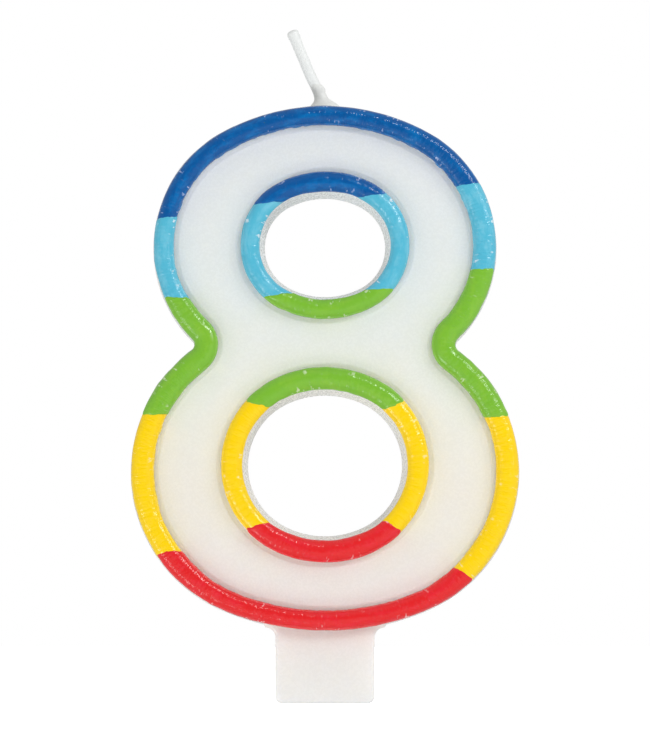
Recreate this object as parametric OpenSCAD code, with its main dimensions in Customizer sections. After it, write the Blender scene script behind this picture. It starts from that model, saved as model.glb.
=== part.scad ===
// Number birthday candle, the figure 8, with a raised painted bead round its edge and both counters.
// It stands on its foot: +X to its right seen from the front, +Z up, front face towards -Y.
// The figure is drawn lying on its back, X right, Y up the figure, Z towards the front, then stood up.

/* [Slab] */
// Thickness from the flat back to the field between the beads
field_t = 7.8; // [5:0.1:12]
// How much further out the outline stands at the back than at the front
outer_draft = 0.35; // [0.1:0.05:0.6]
// How much smaller the counters are at the back than at the front
counter_draft = 0.75; // [0.2:0.05:1.2]
// Half width of the waist, where the two lobes would cross
waist_half_w = 15.9; // [13:0.1:19]
// Radius of the hollow corner at the waist
notch_r = 1.0; // [0.8:0.1:2]

/* [Upper lobe] */
// Radius of the upper lobe's round sides
upper_side_r = 16.5; // [13.5:0.1:20]
// Distance of each round side's centre from the middle
upper_spread = 5.25; // [4:0.05:6.5]
// Rise of the top above the round sides
upper_crown = 1.4; // [1:0.05:2]

/* [Lower lobe] */
// Radius of the lower lobe's round sides
lower_side_r = 19.05; // [15.5:0.05:23]
// Distance of each round side's centre from the middle
lower_spread = 5.6; // [4.5:0.05:7]
// Drop of the bottom below the round sides
lower_crown = 1.15; // [0.8:0.05:1.8]

/* [Upper counter] */
// Radius of the round sides at the front
upper_counter_r = 6.45; // [5.3:0.05:7.8]
// Distance of each round side's centre from the middle
upper_counter_spread = 1.85; // [1.5:0.05:2.3]
// Rise of the top above the round sides, and drop of the bottom below them
upper_counter_crown = 0.45; // [0.35:0.05:0.6]
// Height of the counter's centre above the lobe's
upper_counter_lift = 0.1; // [-1:0.05:1]

/* [Lower counter] */
// Radius of the round sides at the front
lower_counter_r = 9.35; // [7.7:0.05:11.3]
// Distance of each round side's centre from the middle
lower_counter_spread = 1.1; // [0.9:0.05:1.4]
// Rise of the top above the round sides, and drop of the bottom below them
lower_counter_crown = 0.25; // [0.2:0.05:0.35]
// Height of the counter's centre above the lobe's
lower_counter_lift = 0.8; // [-1:0.05:1.5]

/* [Beads and paint] */
// Height of the painted bead above the field
bead_h = 1.2; // [1:0.05:1.6]
// Width of the painted bead round the outline
outer_bead_w = 2.9; // [2.3:0.05:3.6]
// Width of the painted bead round the upper counter
upper_ring_w = 2.45; // [2:0.05:3]
// Width of the painted bead round the lower counter
lower_ring_w = 2.8; // [2.2:0.05:3.4]
// Thickness of the coloured wax coat
coat_t = 0.25; // [0.15:0.01:0.35]
// Radius of the bead's shoulders under the coat
shoulder_r = 0.55; // [0.2:0.05:0.6]

/* [Foot] */
// Width of the foot that goes into the cake
foot_w = 12.6; // [10:0.1:16]
// Height of the foot below the lower lobe
foot_h = 9.3; // [7:0.1:14]
// Thickness of the foot
foot_t = 7.2; // [5:0.1:7.8]
// Radius of the foot's bottom corners
foot_corner_r = 0.7; // [0.3:0.1:2]
// Radius of the fillets between the foot and the lobe
foot_fillet_r = 1.3; // [0.6:0.1:2.5]

/* [Wick] */
// Diameter of the braided wick
wick_d = 0.9; // [0.6:0.05:1.3]
// Thickness of the wax on the exposed wick
wick_coat_t = 0.2; // [0.1:0.01:0.3]
// Sideways place of the wick where it leaves the top, left of the middle
wick_offset = 0.3; // [0:0.1:1]
// Height of the wick's tip above the top of the figure
wick_rise = 9.5; // [6:0.1:14]
// Lean of the exposed wick to the left
wick_lean = 23; // [0:1:35]
// Depth of the elbow, under the top, where the exposed wick starts to lean
wick_elbow_depth = 0.8; // [0.4:0.1:1.5]
// Bend radius where the wick turns into the top stroke and into the foot
wick_turn_r = 2; // [1.5:0.1:2.5]
// Height of the wick's lower end above the bottom of the foot
wick_end_gap = 1.5; // [0.5:0.1:3]
// Radius of the wax drop's base round the wick
seal_base_r = 2.4; // [1.6:0.1:3.2]
// Height of the wax drop
seal_h = 2.1; // [1.4:0.1:3]

/* [Colour changes, on the round sides, degrees above or below level, left and right] */
// Dark blue to light blue on the upper lobe
outer_blue_cut = [15, 32]; // [5:1:50]
// Light blue to green on the upper lobe
outer_aqua_cut = [-26, -10]; // [-35:1:-2]
// Green to yellow on the lower lobe
outer_green_cut = [24, 23]; // [5:1:45]
// Yellow to red on the lower lobe
outer_yellow_cut = [-36, -47]; // [-60:1:-15]
// Dark blue to light blue on the upper ring
upper_blue_cut = [46, 54]; // [20:1:60]
// Light blue to green on the upper ring
upper_aqua_cut = [-54, -46]; // [-60:1:-20]
// Green to yellow on the lower ring
lower_green_cut = [46, 45]; // [20:1:60]
// Yellow to red on the lower ring
lower_yellow_cut = [-46, -47]; // [-60:1:-20]

/* [Hidden] */

WAX = "whitesmoke";
COTTON = "lightgray";
BLUE = "#005aa5";
AQUA = "#58bed7";
GREEN = "#7dbe37";
YELLOW = "#ffd700";
RED = "#e82828";

$fn = 180;
REACH = 60; // farther than any edge of the figure
EMBED = 0.5; // how deep the white beads root in the slab
SLACK = 0.03; // arcs cross at a slight angle, this far past tangent, so that no surfaces only touch
LAP = 8; // degrees by which each half of one arc runs past its middle
NEST = 0.02; // how much narrower than its neighbour a bar is that runs on inside it
NEST_RUN = 0.3; // how far the lower half of a notch's bar runs up inside the upper one
ROOT_STEP = 0.1; // how much less deep the beads root with each such step
seal_neck_wall = 0.15; // wall of the wax drop at its top
seal_lip = 0.35; // thickness of the wax drop's thin edge
seal_root = 0.6; // how far the wax drop is drawn down before the slab cuts it off

total_t = field_t + bead_h;
painted_r = shoulder_r + coat_t;

// Derived places and radii are kept to a whole micron.
function micron(v) = round(v * 1000) / 1000;
// Radius of the long arc that joins two round sides of radius r, spread apart, crown above them.
function long_r(r, spread, crown) =
    micron((spread * spread + pow(r + crown, 2) - pow(r - SLACK, 2)) / (2 * (crown + SLACK)));
// Half angle of that arc, up to where it meets a round side
function long_a(r, spread, crown) = atan2(spread, long_r(r, spread, crown) - r - crown);
// Height of a circle's crossing with an upright line at distance x from its centre
function rise(r, x) = sqrt(r * r - x * x);
// The right-hand value of a left and right pair for side 1, the left-hand one for side -1
function of_side(pair, side) = pair[side < 0 ? 0 : 1];

upper_long_r = long_r(upper_side_r, upper_spread, upper_crown);
upper_long_a = long_a(upper_side_r, upper_spread, upper_crown);
lower_long_r = long_r(lower_side_r, lower_spread, lower_crown);
lower_long_a = long_a(lower_side_r, lower_spread, lower_crown);
upper_counter_long_r = long_r(upper_counter_r, upper_counter_spread, upper_counter_crown);
upper_counter_long_a = long_a(upper_counter_r, upper_counter_spread, upper_counter_crown);
lower_counter_long_r = long_r(lower_counter_r, lower_counter_spread, lower_counter_crown);
lower_counter_long_a = long_a(lower_counter_r, lower_counter_spread, lower_counter_crown);

// Heights up the figure
lower_y = foot_h + lower_side_r + lower_crown;
lower_waist_y = lower_y + rise(lower_side_r, waist_half_w - lower_spread);
upper_y = micron(lower_waist_y + rise(upper_side_r, waist_half_w - upper_spread));
top_y = upper_y + upper_side_r + upper_crown;
upper_counter_y = upper_y + upper_counter_lift;
lower_counter_y = lower_y + lower_counter_lift;
// Half heights of the counters
upper_counter_b = upper_counter_r + upper_counter_crown;
lower_counter_b = lower_counter_r + lower_counter_crown;

// Centres of the arcs, right-hand side
upper_c = [upper_spread, upper_y];
lower_c = [lower_spread, lower_y];
crown_c = [0, top_y - upper_long_r];
base_c = [0, foot_h + lower_long_r];
// Centres of the long arcs above and below the counters
upper_over_c = [0, upper_counter_y + upper_counter_b - upper_counter_long_r];
upper_under_c = [0, upper_counter_y - upper_counter_b + upper_counter_long_r];
lower_over_c = [0, lower_counter_y + lower_counter_b - lower_counter_long_r];
lower_under_c = [0, lower_counter_y - lower_counter_b + lower_counter_long_r];

// The notch's centre lies notch_r outside both round sides.
notch_reach_u = upper_side_r + notch_r;
notch_reach_l = lower_side_r + notch_r;
between = upper_c - lower_c;
between_len = norm(between);
notch_along = (pow(between_len, 2) + pow(notch_reach_l, 2) - pow(notch_reach_u, 2)) / (2 * between_len);
notch_across = rise(notch_reach_l, notch_along);
notch_c = [
    micron(lower_spread + (between[0] * notch_along + between[1] * notch_across) / between_len),
    micron(lower_y + (between[1] * notch_along - between[0] * notch_across) / between_len)
];

// Directions from the lobes' centres to the notch
notch_a_u = atan2(notch_c[1] - upper_y, notch_c[0] - upper_spread);
notch_a_l = atan2(notch_c[1] - lower_y, notch_c[0] - lower_spread);

// Middle of each stroke, where the wick runs
wick_top_y = micron((top_y + upper_counter_y + upper_counter_b) / 2);
wick_right_x = micron((upper_spread + upper_side_r + upper_counter_spread + upper_counter_r) / 2);
wick_waist_y = micron((upper_counter_y - upper_counter_b + lower_counter_y + lower_counter_b) / 2);
wick_left_x = micron((lower_spread + lower_side_r + lower_counter_spread + lower_counter_r) / 2);
wick_low_y = micron((foot_h + lower_counter_y - lower_counter_b) / 2);
wick_z = field_t / 2;
// Largest bends that the strokes leave room for
wick_upper_r = micron(min((wick_top_y - wick_waist_y) / 2, wick_right_x + wick_offset - wick_turn_r));
wick_lower_r = micron(min((wick_waist_y - wick_low_y) / 2, wick_left_x - wick_turn_r));
// The exposed part leans from an elbow just under the top.
wick_coat_r = wick_d / 2 + wick_coat_t;
elbow_y = top_y - wick_elbow_depth;
wick_lean_len = (wick_rise + wick_elbow_depth - wick_coat_r * (cos(wick_lean) + sin(wick_lean)) / 2)
    / cos(wick_lean);

// ---- Shapes along an arc ----
// A profile has x out from the arc's centre and y towards the front.

module both_sides() {
    children();
    mirror([1, 0, 0]) children();
}

module disc(c) {
    translate([c[0], c[1], 0])
        rotate_extrude()
            children();
}

module sector(c, a0, a1) {
    translate([c[0], c[1], 0])
        rotate_extrude(angle = a1 - a0, start = a0)
            children();
}

// Solid oval: child 0 is the round sides' profile, child 1 the long arcs'.
module oval(y, r, spread, crown) {
    a = long_a(r, spread, crown);
    c = [0, y + r + crown - long_r(r, spread, crown)];
    both_sides()
        disc([spread, y]) children(0);
    sector(c, 90 - a, 90 + a) children(1);
    sector([0, 2 * y - c[1]], 270 - a, 270 + a) children(1);
}

// Solid figure 8 without counters, filled from y0 to y1 at the waist: children 0 to 3 are the
// profiles of the upper sides, the lower sides, the crown and the base, child 4 the notches' cutter.
module figure(y0, y1) {
    both_sides() {
        disc(upper_c) children(0);
        disc(lower_c) children(1);
    }
    sector(crown_c, 90 - upper_long_a, 90 + upper_long_a) children(2);
    sector(base_c, 270 - lower_long_a, 270 + lower_long_a) children(3);
    difference() {
        translate([0, 0, y0])
            linear_extrude(y1 - y0)
                polygon([
                    upper_c, notch_c, lower_c,
                    [-lower_c[0], lower_c[1]], [-notch_c[0], notch_c[1]], [-upper_c[0], upper_c[1]]
                ]);
        both_sides()
            disc(notch_c) children(4);
    }
}

// ---- Profiles ----

// The slab out to radius r, with the mould's draft
module slab_profile(r) {
    polygon([[0, 0], [r + outer_draft, 0], [r, field_t], [0, field_t]]);
}

// A cutter of radius r at the front that narrows by draft towards the back, past both faces
module drafted_cutter(r, draft) {
    slope = draft / field_t;
    polygon([[0, -1], [r - draft - slope, -1], [r + slope, field_t + 1], [0, field_t + 1]]);
}

// ---- The figure ----

module slab() {
    figure(0, field_t) {
        slab_profile(upper_side_r);
        slab_profile(lower_side_r);
        slab_profile(upper_long_r);
        slab_profile(lower_long_r);
        drafted_cutter(notch_r + SLACK, outer_draft);
    }
}

module crown_slab() {
    sector(crown_c, 90 - upper_long_a, 90 + upper_long_a) slab_profile(upper_long_r);
}

module counter_cut(y, r, spread, crown) {
    oval(y, r, spread, crown) {
        drafted_cutter(r, counter_draft);
        drafted_cutter(long_r(r, spread, crown), counter_draft);
    }
}

// ---- The bead and the skin over it ----

// Section of the bead (or, with skin, of the coloured coat over it) whose painted width runs from x0
// to x0 + w, drawn narrower on every side by nest
module bead_section(x0, w, skin, nest) {
    a = x0 + nest;
    b = x0 + w - nest;
    top = total_t - nest;
    if (skin) {
        difference() {
            union() {
                translate([a, field_t]) square([b - a, top - field_t - painted_r]);
                translate([a + painted_r, field_t]) square([b - a - 2 * painted_r, top - field_t]);
                for (x = [a + painted_r, b - painted_r])
                    translate([x, top - painted_r]) circle(painted_r, $fn = 48);
            }
            translate([a + coat_t, field_t - 1])
                square([b - a - 2 * coat_t, top - field_t + 1 - painted_r]);
            translate([a + painted_r, field_t - 1])
                square([b - a - 2 * painted_r, top - field_t + 1 - coat_t]);
            for (x = [a + painted_r, b - painted_r])
                translate([x, top - painted_r]) circle(shoulder_r, $fn = 48);
        }
    } else {
        root = field_t - EMBED + nest / NEST * ROOT_STEP;
        translate([a + coat_t, root]) square([b - a - 2 * coat_t, top - painted_r - root]);
        translate([a + painted_r, root]) square([b - a - 2 * painted_r, top - coat_t - root]);
        for (x = [a + painted_r, b - painted_r])
            translate([x, top - painted_r]) circle(shoulder_r, $fn = 48);
    }
}

// A length of that section along an arc. It starts on the X axis, so that the arcs on both sides of
// a joint meet there, and turns clockwise if turn is negative.
module arc_bar(x0, w, turn, skin, nest = 0) {
    mirror([0, turn < 0 ? 1 : 0, 0])
        rotate_extrude(angle = abs(turn))
            bead_section(x0, w, skin, nest);
}

// Skin on one round side, about c, between two directions
module side_coat(c, x0, w, a0, a1, side) {
    mirror([side < 0 ? 1 : 0, 0, 0])
        translate([c[0], c[1], 0])
            rotate([0, 0, a0])
                arc_bar(x0, w, a1 - a0, true);
}

// Bead or skin over a long arc at the top of a loop and on down both round sides to the two cuts.
// Each half is drawn in the frame of the joint between its two arcs. x0 is its inner edge from the
// edge of the loop: 0 outside a counter, -w inside the outline.
module top_bar(c, long_radius, side_radius, half_a, cuts, x0, w, skin, nest = 0) {
    for (side = [-1, 1])
        mirror([side < 0 ? 1 : 0, 0, 0])
            translate([c[0], c[1], 0])
                rotate([0, 0, 90 - half_a]) {
                    arc_bar(long_radius + x0, w, half_a + LAP, skin, nest);
                    translate([long_radius - side_radius, 0, 0])
                        arc_bar(side_radius + x0, w, of_side(cuts, side) + half_a - 90, skin, nest);
                }
}

// The same at the bottom of a loop centred at y
module bottom_bar(y, c, long_radius, side_radius, half_a, cuts, x0, w, skin, nest = 0) {
    translate([0, 2 * y, 0])
        mirror([0, 1, 0])
            top_bar([c[0], 2 * y - c[1]], long_radius, side_radius, half_a, -cuts, x0, w, skin, nest);
}

// Bead or skin round the notch, from the upper lobe's cut to the lower lobe's. Each half is drawn in
// the frame of its own joint. The lower half is a hair narrower and runs up inside the upper one.
module notch_bar(upper_cut, lower_cut, side, skin, nest = 0) {
    w = outer_bead_w;
    low_nest = nest + NEST;
    mirror([side < 0 ? 1 : 0, 0, 0]) {
        intersection() {
            translate([notch_c[0], notch_c[1], 0])
                rotate([0, 0, notch_a_u + 180]) {
                    arc_bar(notch_r, w, LAP - notch_a_u, skin, nest);
                    translate([notch_reach_u, 0, 0])
                        mirror([1, 0, 0])
                            arc_bar(upper_side_r - w, w, notch_a_u - upper_cut, skin, nest);
                }
            translate([-REACH, notch_c[1], -1]) cube([2 * REACH, REACH, total_t + 2]);
        }
        intersection() {
            translate([notch_c[0], notch_c[1], 0])
                rotate([0, 0, notch_a_l + 180]) {
                    arc_bar(notch_r, w, -LAP - notch_a_l, skin, low_nest);
                    translate([notch_reach_l, 0, 0])
                        mirror([1, 0, 0])
                            arc_bar(lower_side_r - w, w, notch_a_l - lower_cut, skin, low_nest);
                }
            translate([-REACH, notch_c[1] + NEST_RUN - REACH, -1])
                cube([2 * REACH, REACH, total_t + 2]);
        }
    }
}

// The white bead inside the outline. Its notches' parts are a hair narrower and run a degree into
// the top and bottom parts.
module outline_bead() {
    w = outer_bead_w;
    top_bar(crown_c, upper_long_r, upper_side_r, upper_long_a, [0, 0], -w, w, false);
    bottom_bar(lower_y, base_c, lower_long_r, lower_side_r, lower_long_a, [0, 0], -w, w, false);
    for (side = [-1, 1])
        notch_bar(1, -1, side, false, NEST);
}

// The white bead round a counter. over and under are the centres of its long arcs.
module ring_bead(y, over, under, long_radius, r, half_a, w) {
    top_bar(over, long_radius, r, half_a, [0, 0], 0, w, false);
    bottom_bar(y, under, long_radius, r, half_a, [1, 1], 0, w, false, NEST);
}

// ---- The foot ----

// One fillet between the foot's side and the lower lobe, on the right
module foot_fillet() {
    c = [
        foot_w / 2 + foot_fillet_r,
        base_c[1] - rise(lower_long_r + foot_fillet_r, foot_w / 2 + foot_fillet_r)
    ];
    inward = (base_c - c) / norm(base_c - c);
    difference() {
        linear_extrude(foot_t)
            polygon([
                c, [foot_w / 2 - 1, c[1]], [foot_w / 2 - 1, c[1] + 3], c + inward * (foot_fillet_r + 2)
            ]);
        translate([c[0], c[1], -1]) cylinder(h = foot_t + 2, r = foot_fillet_r + SLACK);
    }
}

module foot() {
    // High enough to root in the lower lobe across its whole width
    root = foot_h + lower_long_r - rise(lower_long_r, foot_w / 2) + 1;
    translate([-foot_w / 2, foot_corner_r, 0]) cube([foot_w, root - foot_corner_r, foot_t]);
    translate([-foot_w / 2 + foot_corner_r, 0, 0]) cube([foot_w - 2 * foot_corner_r, root, foot_t]);
    for (x = [-1, 1])
        translate([x * (foot_w / 2 - foot_corner_r), foot_corner_r, 0])
            cylinder(h = foot_t, r = foot_corner_r);
    both_sides() foot_fillet();
}

// ---- The wick's route ----

// Round bar of radius r up the figure from y0 to y1 at x, at the middle of the slab
module upright_bar(x, y0, y1, r) {
    if (y1 - y0 > 0.01)
        translate([x, y0, wick_z]) rotate([-90, 0, 0]) cylinder(h = y1 - y0, r = r, $fn = 48);
}

// Round bar of radius r across the figure from x0 to x1 at y
module level_bar(y, x0, x1, r) {
    if (x1 - x0 > 0.01)
        translate([x0, y, wick_z]) rotate([0, 90, 0]) cylinder(h = x1 - x0, r = r, $fn = 48);
}

// Quarter turn about c with bend radius b, starting at angle a0
module quarter(c, b, a0, r) {
    sector(c, a0, a0 + 90)
        translate([b, wick_z]) circle(r, $fn = 48);
}

// Down through the top stroke, round the right of the upper counter, across the waist, round the
// left of the lower counter and down into the foot
module wick_inside(r) {
    x0 = -wick_offset;
    t = wick_turn_r;
    u = wick_upper_r;
    l = wick_lower_r;
    upright_bar(x0, wick_top_y + t, elbow_y, r);
    quarter([x0 + t, wick_top_y + t], t, 180, r);
    level_bar(wick_top_y, x0 + t, wick_right_x - u, r);
    quarter([wick_right_x - u, wick_top_y - u], u, 0, r);
    upright_bar(wick_right_x, wick_waist_y + u, wick_top_y - u, r);
    quarter([wick_right_x - u, wick_waist_y + u], u, 270, r);
    level_bar(wick_waist_y, l - wick_left_x, wick_right_x - u, r);
    quarter([l - wick_left_x, wick_waist_y - l], l, 90, r);
    upright_bar(-wick_left_x, wick_low_y + l, wick_waist_y - l, r);
    quarter([l - wick_left_x, wick_low_y + l], l, 180, r);
    level_bar(wick_low_y, l - wick_left_x, -t, r);
    quarter([-t, wick_low_y - t], t, 0, r);
    upright_bar(0, wick_end_gap, wick_low_y - t, r);
}

// Places a child, drawn up the Z axis, along the leaning part of the wick.
module leaning() {
    translate([-wick_offset, elbow_y, wick_z])
        rotate([0, 0, wick_lean])
            rotate([-90, 0, 0])
                children();
}

// The whole wick, or its channel. The two bars overlap at the elbow by their own radius.
module wick_route(r) {
    wick_inside(r);
    upright_bar(-wick_offset, elbow_y - r, elbow_y + r / 2, r);
    leaning() translate([0, 0, -r / 2]) cylinder(h = wick_lean_len + r / 2, r = r, $fn = 48);
}

// Stands the figure up on its foot.
module stand() {
    translate([0, total_t / 2, 0]) rotate([90, 0, 0]) children();
}

// ---- The wax and the wick ----

module wax_body() {
    color(WAX) stand() {
        difference() {
            union() {
                slab();
                foot();
            }
            counter_cut(upper_counter_y, upper_counter_r, upper_counter_spread, upper_counter_crown);
            counter_cut(lower_counter_y, lower_counter_r, lower_counter_spread, lower_counter_crown);
            wick_route(wick_d / 2);
        }
        outline_bead();
        ring_bead(upper_counter_y, upper_over_c, upper_under_c, upper_counter_long_r,
            upper_counter_r, upper_counter_long_a, upper_ring_w);
        ring_bead(lower_counter_y, lower_over_c, lower_under_c, lower_counter_long_r,
            lower_counter_r, lower_counter_long_a, lower_ring_w);
    }
}

module wick_core() {
    color(COTTON) stand() wick_route(wick_d / 2);
}

// Blunt round-nosed wax tube over the exposed wick
module wick_wax_coat() {
    r = wick_coat_r;
    end = wick_lean_len;
    color(WAX) stand()
        difference() {
            leaning()
                rotate_extrude($fn = 48)
                    polygon([[0, 0], [r, 0], [r, end - 0.15], [0.85 * r, end + 0.2 * r],
                        [0.5 * r, end + 0.42 * r], [0, end + 0.5 * r]]);
            leaning() translate([0, 0, -1]) cylinder(h = end + 1, r = wick_d / 2, $fn = 48);
            crown_slab();
        }
}

// The hollow-sided drop of wax round the wick where it leaves the top
module wick_seal() {
    neck_r = wick_coat_r + seal_neck_wall;
    lean_x = wick_offset + (wick_elbow_depth + seal_h / 2) * tan(wick_lean);
    crown_y = top_y + outer_draft * (1 - wick_z / field_t);
    color(WAX) stand()
        difference() {
            translate([-lean_x, crown_y, wick_z])
                rotate([-90, 0, 0])
                    rotate_extrude()
                        polygon(concat(
                            [[seal_base_r, -seal_root], [0, -seal_root], [0, seal_h]],
                            [for (a = [0 : 15 : 90]) [
                                neck_r + (seal_base_r - neck_r) * (1 - cos(a)),
                                seal_lip + (seal_h - seal_lip) * (1 - sin(a))
                            ]]
                        ));
            leaning() translate([0, 0, -1]) cylinder(h = wick_lean_len + 1, r = wick_coat_r, $fn = 48);
            crown_slab();
        }
}

// ---- The coloured coats ----

module outer_blue_top() {
    color(BLUE) stand()
        top_bar(crown_c, upper_long_r, upper_side_r, upper_long_a, outer_blue_cut,
            -outer_bead_w, outer_bead_w, true);
}

module outer_aqua(side) {
    color(AQUA) stand()
        side_coat(upper_c, upper_side_r - outer_bead_w, outer_bead_w,
            of_side(outer_aqua_cut, side), of_side(outer_blue_cut, side), side);
}

module outer_green(side) {
    color(GREEN) stand()
        notch_bar(of_side(outer_aqua_cut, side), of_side(outer_green_cut, side), side, true);
}

module outer_yellow(side) {
    color(YELLOW) stand()
        side_coat(lower_c, lower_side_r - outer_bead_w, outer_bead_w,
            of_side(outer_yellow_cut, side), of_side(outer_green_cut, side), side);
}

module outer_red_bottom() {
    color(RED) stand()
        bottom_bar(lower_y, base_c, lower_long_r, lower_side_r, lower_long_a, outer_yellow_cut,
            -outer_bead_w, outer_bead_w, true);
}

module upper_ring_blue_top() {
    color(BLUE) stand()
        top_bar(upper_over_c, upper_counter_long_r, upper_counter_r, upper_counter_long_a,
            upper_blue_cut, 0, upper_ring_w, true);
}

module upper_ring_aqua(side) {
    color(AQUA) stand()
        side_coat([upper_counter_spread, upper_counter_y], upper_counter_r, upper_ring_w,
            of_side(upper_aqua_cut, side), of_side(upper_blue_cut, side), side);
}

module upper_ring_green_bottom() {
    color(GREEN) stand()
        bottom_bar(upper_counter_y, upper_under_c, upper_counter_long_r, upper_counter_r,
            upper_counter_long_a, upper_aqua_cut, 0, upper_ring_w, true);
}

module lower_ring_green_top() {
    color(GREEN) stand()
        top_bar(lower_over_c, lower_counter_long_r, lower_counter_r, lower_counter_long_a,
            lower_green_cut, 0, lower_ring_w, true);
}

module lower_ring_yellow(side) {
    color(YELLOW) stand()
        side_coat([lower_counter_spread, lower_counter_y], lower_counter_r, lower_ring_w,
            of_side(lower_yellow_cut, side), of_side(lower_green_cut, side), side);
}

module lower_ring_red_bottom() {
    color(RED) stand()
        bottom_bar(lower_counter_y, lower_under_c, lower_counter_long_r, lower_counter_r,
            lower_counter_long_a, lower_yellow_cut, 0, lower_ring_w, true);
}

wax_body();
wick_core();
wick_wax_coat();
wick_seal();
outer_blue_top();
outer_aqua(-1);  // outer_aqua_left
outer_aqua(1);  // outer_aqua_right
outer_green(-1);  // outer_green_left
outer_green(1);  // outer_green_right
outer_yellow(-1);  // outer_yellow_left
outer_yellow(1);  // outer_yellow_right
outer_red_bottom();
upper_ring_blue_top();
upper_ring_aqua(-1);  // upper_ring_aqua_left
upper_ring_aqua(1);  // upper_ring_aqua_right
upper_ring_green_bottom();
lower_ring_green_top();
lower_ring_yellow(-1);  // lower_ring_yellow_left
lower_ring_yellow(1);  // lower_ring_yellow_right
lower_ring_red_bottom();
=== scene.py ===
"""Looks of the number birthday candle, the figure 8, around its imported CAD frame.

Lengths in this script are millimetres in the figure's plane: u runs from an edge of the figure into the
wax, h from the white field towards the front. They become metres in the CAD frame in mesh_piece().
The floor, the lights and the camera are in metres.
"""

import math

import bmesh
import bpy
import numpy as np
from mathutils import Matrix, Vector, geometry, kdtree


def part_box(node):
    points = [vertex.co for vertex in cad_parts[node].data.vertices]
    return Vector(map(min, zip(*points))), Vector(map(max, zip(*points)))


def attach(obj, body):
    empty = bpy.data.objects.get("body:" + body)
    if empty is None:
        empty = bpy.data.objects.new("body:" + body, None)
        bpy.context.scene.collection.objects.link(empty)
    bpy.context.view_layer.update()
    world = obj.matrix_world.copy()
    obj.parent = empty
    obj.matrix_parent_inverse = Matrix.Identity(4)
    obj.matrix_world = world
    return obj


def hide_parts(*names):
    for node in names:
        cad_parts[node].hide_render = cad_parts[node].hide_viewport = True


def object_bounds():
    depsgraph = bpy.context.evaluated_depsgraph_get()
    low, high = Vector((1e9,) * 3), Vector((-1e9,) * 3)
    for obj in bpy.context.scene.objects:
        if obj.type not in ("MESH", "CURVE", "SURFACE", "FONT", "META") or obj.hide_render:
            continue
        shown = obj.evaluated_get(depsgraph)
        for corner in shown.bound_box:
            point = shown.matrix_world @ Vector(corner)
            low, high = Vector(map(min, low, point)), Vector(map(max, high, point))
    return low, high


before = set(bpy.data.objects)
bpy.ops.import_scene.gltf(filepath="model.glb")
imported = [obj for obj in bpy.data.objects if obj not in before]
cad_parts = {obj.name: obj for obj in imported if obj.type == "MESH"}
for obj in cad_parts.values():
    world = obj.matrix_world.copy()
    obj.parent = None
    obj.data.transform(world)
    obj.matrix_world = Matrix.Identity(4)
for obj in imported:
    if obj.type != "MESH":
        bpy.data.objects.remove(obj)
CAD_LOW, CAD_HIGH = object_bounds()

MM = 0.001
TAU = 2 * math.pi

# ---- Places taken from the frame ----


def box_mm(node):
    low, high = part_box(node)
    return np.array(low) / MM, np.array(high) / MM


_, WAX_HIGH = box_mm("wax_body")
TOP_LOW, TOP_HIGH = box_mm("outer_blue_top")
RED_LOW, _ = box_mm("outer_red_bottom")
UPPER_RING_LOW, _ = box_mm("upper_ring_green_bottom")
_, UPPER_RING_HIGH = box_mm("upper_ring_blue_top")
LOWER_RING_LOW, _ = box_mm("lower_ring_red_bottom")
_, LOWER_RING_HIGH = box_mm("lower_ring_green_top")

BACK_Y = WAX_HIGH[1]
FRONT_Y = TOP_LOW[1]
FIELD_Y = TOP_HIGH[1]
BEAD_H = FIELD_Y - FRONT_Y
SLAB_T = BACK_Y - FIELD_Y
TOP_Z = TOP_HIGH[2]
FOOT_Z = RED_LOW[2]

# ---- The figure's measures. Radii and widths repeat the CAD source; the drafts are the looks' own ----
OUTER_W = 2.9
UPPER_RING_W = 2.45
LOWER_RING_W = 2.8
OUTER_DRAFT = 0.22
COUNTER_DRAFT = 0.6
NOTCH_R = 1.0
UPPER_R, UPPER_SPREAD, UPPER_CROWN = 16.5, 5.25, 1.4
LOWER_R, LOWER_SPREAD, LOWER_CROWN = 19.05, 5.6, 1.15
UPPER_HOLE_R, UPPER_HOLE_SPREAD, UPPER_HOLE_CROWN = 6.45, 1.85, 0.45
LOWER_HOLE_R, LOWER_HOLE_SPREAD, LOWER_HOLE_CROWN = 9.35, 1.1, 0.25
FOOT_W = 12.6
FOOT_T = 7.2
FOOT_CORNER_R = 0.8
FOOT_FILLET_R = 1.3

UPPER_Y = TOP_Z - UPPER_R - UPPER_CROWN
LOWER_Y = FOOT_Z + LOWER_R + LOWER_CROWN
UPPER_HOLE_Y = (UPPER_RING_LOW[2] + UPPER_RING_HIGH[2]) / 2
LOWER_HOLE_Y = (LOWER_RING_LOW[2] + LOWER_RING_HIGH[2]) / 2

# ---- Seeded smooth noise ----


def lattice(seed):
    return np.random.RandomState(seed).rand(4096)


def smooth_noise(points, size, seed):
    """Value noise from -1 to 1 at points (n, 3), with features about size across."""
    table = lattice(seed)
    p = np.asarray(points, float) / size
    base = np.floor(p).astype(np.int64)
    f = p - base
    f = f * f * (3 - 2 * f)
    total = np.zeros(len(p))
    for dx in (0, 1):
        for dy in (0, 1):
            for dz in (0, 1):
                c = base + (dx, dy, dz)
                value = table[(c[:, 0] * 73856093 ^ c[:, 1] * 19349663 ^ c[:, 2] * 83492791) % 4096]
                weight = (f[:, 0] if dx else 1 - f[:, 0]) * (f[:, 1] if dy else 1 - f[:, 1])
                total += value * weight * (f[:, 2] if dz else 1 - f[:, 2])
    return 2 * total - 1


def line_noise(s, size, seed):
    """Smooth noise along a line."""
    s = np.asarray(s, float)
    return smooth_noise(np.stack([s.ravel(), 0 * s.ravel(), 0 * s.ravel()], 1), size, seed).reshape(s.shape)


def smoothstep(low, high, x):
    t = np.clip((x - low) / (high - low), 0, 1)
    return t * t * (3 - 2 * t)


# ---- The closed edges of the figure ----


def long_r(r, spread, crown):
    return (spread**2 + (r + crown) ** 2 - r**2) / (2 * crown)


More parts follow.
